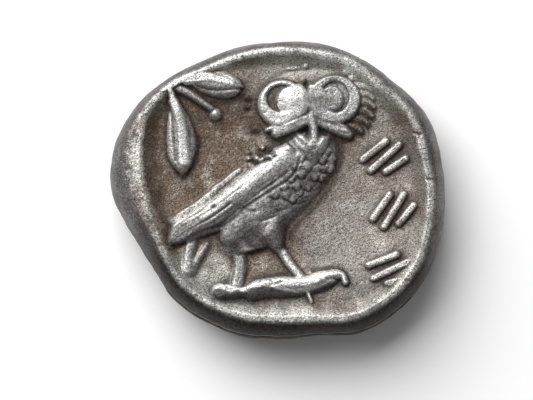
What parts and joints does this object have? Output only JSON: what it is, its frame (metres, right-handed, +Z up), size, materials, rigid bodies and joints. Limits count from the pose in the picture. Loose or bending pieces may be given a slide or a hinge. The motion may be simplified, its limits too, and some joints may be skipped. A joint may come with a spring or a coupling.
{
  "type": "struck silver drachm coin",
  "caption": "Small thick struck silver coin with an owl and a sprig in relief on top and a worn helmeted head below.",
  "frame": {"origin": "under the middle of the coin's outline, on the surface that the coin lies on", "axes": "+Z up out of the owl's face, +X to the right of that face and along the coin's greatest width, +Y to the top of the owl"},
  "size_m": [0.0156, 0.0138, 0.0035],
  "materials": {
    "silver": "worn silver with a dull brown-grey patina in the recesses and brighter high points"
  },
  "bodies": {
    "root": {"coin": "silver"}
  },
  "joints": []
}
